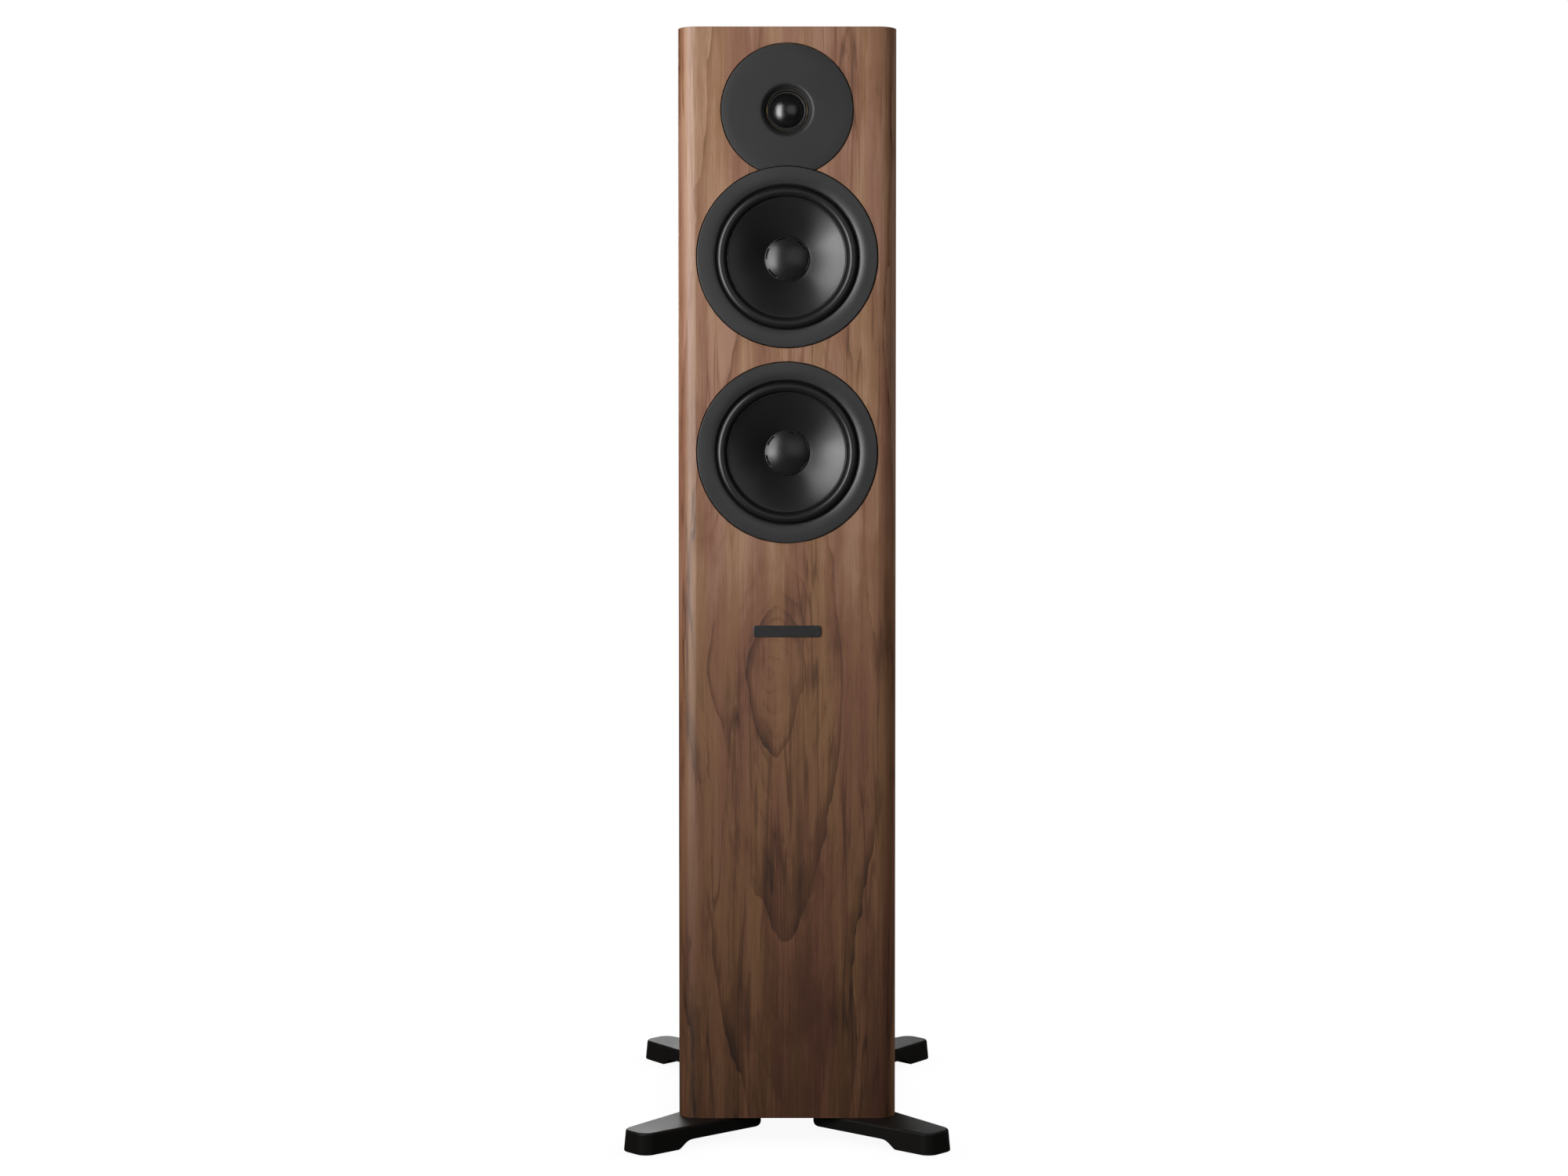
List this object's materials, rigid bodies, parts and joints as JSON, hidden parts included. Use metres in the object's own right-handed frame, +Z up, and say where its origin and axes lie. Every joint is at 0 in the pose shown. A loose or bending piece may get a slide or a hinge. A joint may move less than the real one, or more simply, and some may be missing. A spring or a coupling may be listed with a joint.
{
  "type": "floorstanding speaker",
  "caption": "Slim walnut-veneered floorstanding loudspeaker with round drivers, rear reflex port, screw-down binding posts and cast outrigger feet with levelling pads.",
  "frame": {"origin": "on the floor, under the middle of the cabinet's footprint", "axes": "+Z up, +X to the right seen from the front, the drivers face -Y"},
  "size_m": [0.2666, 0.3716, 0.9185],
  "materials": {
    "walnut_veneer": "satin, vertical walnut grain",
    "fibreboard": "raw board",
    "black_board": "satin black paint over fibreboard",
    "wadding": "felted fibre",
    "badge_metal": "dark brushed, blank",
    "black_moulding": "fine satin texture",
    "plated_brass": "polished plating",
    "red_knob": "tinted, fluted",
    "black_knob": "tinted, fluted",
    "black_screw_steel": "black oxide",
    "bright_steel": "zinc plated",
    "circuit_board": "lacquered board",
    "copper_winding": "enamelled copper wire",
    "capacitor_film": "wrapped film",
    "ceramic": "unglazed ceramic",
    "cable_jacket": "soft",
    "tweeter_plate": "bead-blasted black",
    "tweeter_carrier": "satin, bronze tinted ring",
    "dome_textile": "coated textile, glossy",
    "ferrite": "dull ferrite",
    "cast_basket": "powder coated",
    "trim_ring": "satin black",
    "surround_rubber": "smooth butyl",
    "spider_cloth": "resin treated weave",
    "cone_polymer": "fine satin polymer",
    "foot_casting": "fine textured black coat",
    "pad_rubber": "moulded"
  },
  "bodies": {
    "cabinet": {"front_baffle": "fibreboard", "left_side_panel": "black_board", "right_side_panel": "black_board", "rear_panel": "black_board", "top_panel": "fibreboard", "bottom_panel": "black_board", "veneer_skins": "walnut_veneer", "window_braces": "fibreboard", "acoustic_wadding": "wadding", "front_badge": "badge_metal", "port_tube": "black_moulding", "terminal_plate": "black_moulding", "binding_posts": "plated_brass", "panel_screws": "black_screw_steel", "crossover_board": "circuit_board", "crossover_inductors": "copper_winding", "crossover_capacitors": "capacitor_film", "crossover_resistors": "ceramic", "internal_wiring": "cable_jacket", "tweeter_faceplate": "tweeter_plate", "tweeter_chassis": "tweeter_carrier", "tweeter_surround": "dome_textile", "tweeter_magnet": "ferrite", "tweeter_yoke": "bright_steel", "tweeter_rear_chamber": "black_moulding", "driver_top_plates": "bright_steel", "woofer_magnets": "ferrite", "woofer_yokes": "bright_steel", "woofer_trim_rings": "trim_ring", "foot_bolts": "black_screw_steel", "upper_woofer_basket": "cast_basket", "lower_woofer_basket": "cast_basket", "upper_woofer_surround": "surround_rubber", "lower_woofer_surround": "surround_rubber", "upper_woofer_spider": "spider_cloth", "lower_woofer_spider": "spider_cloth", "front_left_foot": "foot_casting", "front_right_foot": "foot_casting", "rear_left_foot": "foot_casting", "rear_right_foot": "foot_casting"},
    "upper_woofer_diaphragm": {"upper_woofer_cone": "cone_polymer", "upper_woofer_dust_cap": "cone_polymer", "upper_woofer_coil": "copper_winding"},
    "lower_woofer_diaphragm": {"lower_woofer_cone": "cone_polymer", "lower_woofer_dust_cap": "cone_polymer", "lower_woofer_coil": "copper_winding"},
    "tweeter_diaphragm": {"tweeter_dome": "dome_textile", "tweeter_coil": "copper_winding"},
    "red_washer": {"red_clamp_washer": "plated_brass"},
    "red_knob": {"red_post_knob": "red_knob"},
    "black_washer": {"black_clamp_washer": "plated_brass"},
    "black_knob": {"black_post_knob": "black_knob"},
    "front_left_pad": {"front_left_levelling_pad": "pad_rubber"},
    "front_left_stud": {"front_left_levelling_stud": "bright_steel"},
    "front_right_pad": {"front_right_levelling_pad": "pad_rubber"},
    "front_right_stud": {"front_right_levelling_stud": "bright_steel"},
    "rear_left_pad": {"rear_left_levelling_pad": "pad_rubber"},
    "rear_left_stud": {"rear_left_levelling_stud": "bright_steel"},
    "rear_right_pad": {"rear_right_levelling_pad": "pad_rubber"},
    "rear_right_stud": {"rear_right_levelling_stud": "bright_steel"}
  },
  "joints": [
    {"name": "upper_woofer_travel", "type": "slide", "parent": "cabinet", "child": "upper_woofer_diaphragm", "axis": [0, -1, 0], "range_m": [-0.005, 0.005], "stiffness_N_per_m": 900, "deforming": ["upper_woofer_surround", "upper_woofer_spider"]},
    {"name": "lower_woofer_travel", "type": "slide", "parent": "cabinet", "child": "lower_woofer_diaphragm", "axis": [0, -1, 0], "range_m": [-0.005, 0.005], "stiffness_N_per_m": 900, "deforming": ["lower_woofer_surround", "lower_woofer_spider"]},
    {"name": "tweeter_travel", "type": "slide", "parent": "cabinet", "child": "tweeter_diaphragm", "axis": [0, -1, 0], "range_m": [-0.0004, 0.0004], "stiffness_N_per_m": 150, "deforming": ["tweeter_surround"]},
    {"name": "red_washer_slide", "type": "slide", "parent": "cabinet", "child": "red_washer", "axis": [0, 1, 0], "range_m": [0, 0.005]},
    {"name": "red_knob_turn", "type": "hinge", "parent": "red_washer", "child": "red_knob", "pos_m": [-0.019, 0.1495, 0.1185], "axis": [0, 1, 0], "range_deg": [0, 1800.01]},
    {"name": "black_washer_slide", "type": "slide", "parent": "cabinet", "child": "black_washer", "axis": [0, 1, 0], "range_m": [0, 0.005]},
    {"name": "black_knob_turn", "type": "hinge", "parent": "black_washer", "child": "black_knob", "pos_m": [0.019, 0.1495, 0.1185], "axis": [0, 1, 0], "range_deg": [0, 1800.01]},
    {"name": "front_left_pad_slide", "type": "slide", "parent": "cabinet", "child": "front_left_pad", "axis": [0, 0, -1], "range_m": [0, 0.005]},
    {"name": "front_left_stud_turn", "type": "hinge", "parent": "front_left_pad", "child": "front_left_stud", "pos_m": [-0.11341, -0.16595, 0.0043], "axis": [0, 0, -1], "range_deg": [0, 1440.01]},
    {"name": "front_right_pad_slide", "type": "slide", "parent": "cabinet", "child": "front_right_pad", "axis": [0, 0, -1], "range_m": [0, 0.005]},
    {"name": "front_right_stud_turn", "type": "hinge", "parent": "front_right_pad", "child": "front_right_stud", "pos_m": [0.11341, -0.16595, 0.0043], "axis": [0, 0, -1], "range_deg": [0, 1440.01]},
    {"name": "rear_left_pad_slide", "type": "slide", "parent": "cabinet", "child": "rear_left_pad", "axis": [0, 0, -1], "range_m": [0, 0.005]},
    {"name": "rear_left_stud_turn", "type": "hinge", "parent": "rear_left_pad", "child": "rear_left_stud", "pos_m": [-0.11341, 0.16595, 0.0043], "axis": [0, 0, -1], "range_deg": [0, 1440.01]},
    {"name": "rear_right_pad_slide", "type": "slide", "parent": "cabinet", "child": "rear_right_pad", "axis": [0, 0, -1], "range_m": [0, 0.005]},
    {"name": "rear_right_stud_turn", "type": "hinge", "parent": "rear_right_pad", "child": "rear_right_stud", "pos_m": [0.11341, 0.16595, 0.0043], "axis": [0, 0, -1], "range_deg": [0, 1440.01]}
  ],
  "couplings": [
    {"joint": "red_knob_turn", "follows": "red_washer_slide", "rad_per_m": 6283.2},
    {"joint": "black_knob_turn", "follows": "black_washer_slide", "rad_per_m": 6283.2},
    {"joint": "front_left_stud_turn", "follows": "front_left_pad_slide", "rad_per_m": 5026.5},
    {"joint": "front_right_stud_turn", "follows": "front_right_pad_slide", "rad_per_m": 5026.5},
    {"joint": "rear_left_stud_turn", "follows": "rear_left_pad_slide", "rad_per_m": 5026.5},
    {"joint": "rear_right_stud_turn", "follows": "rear_right_pad_slide", "rad_per_m": 5026.5}
  ]
}
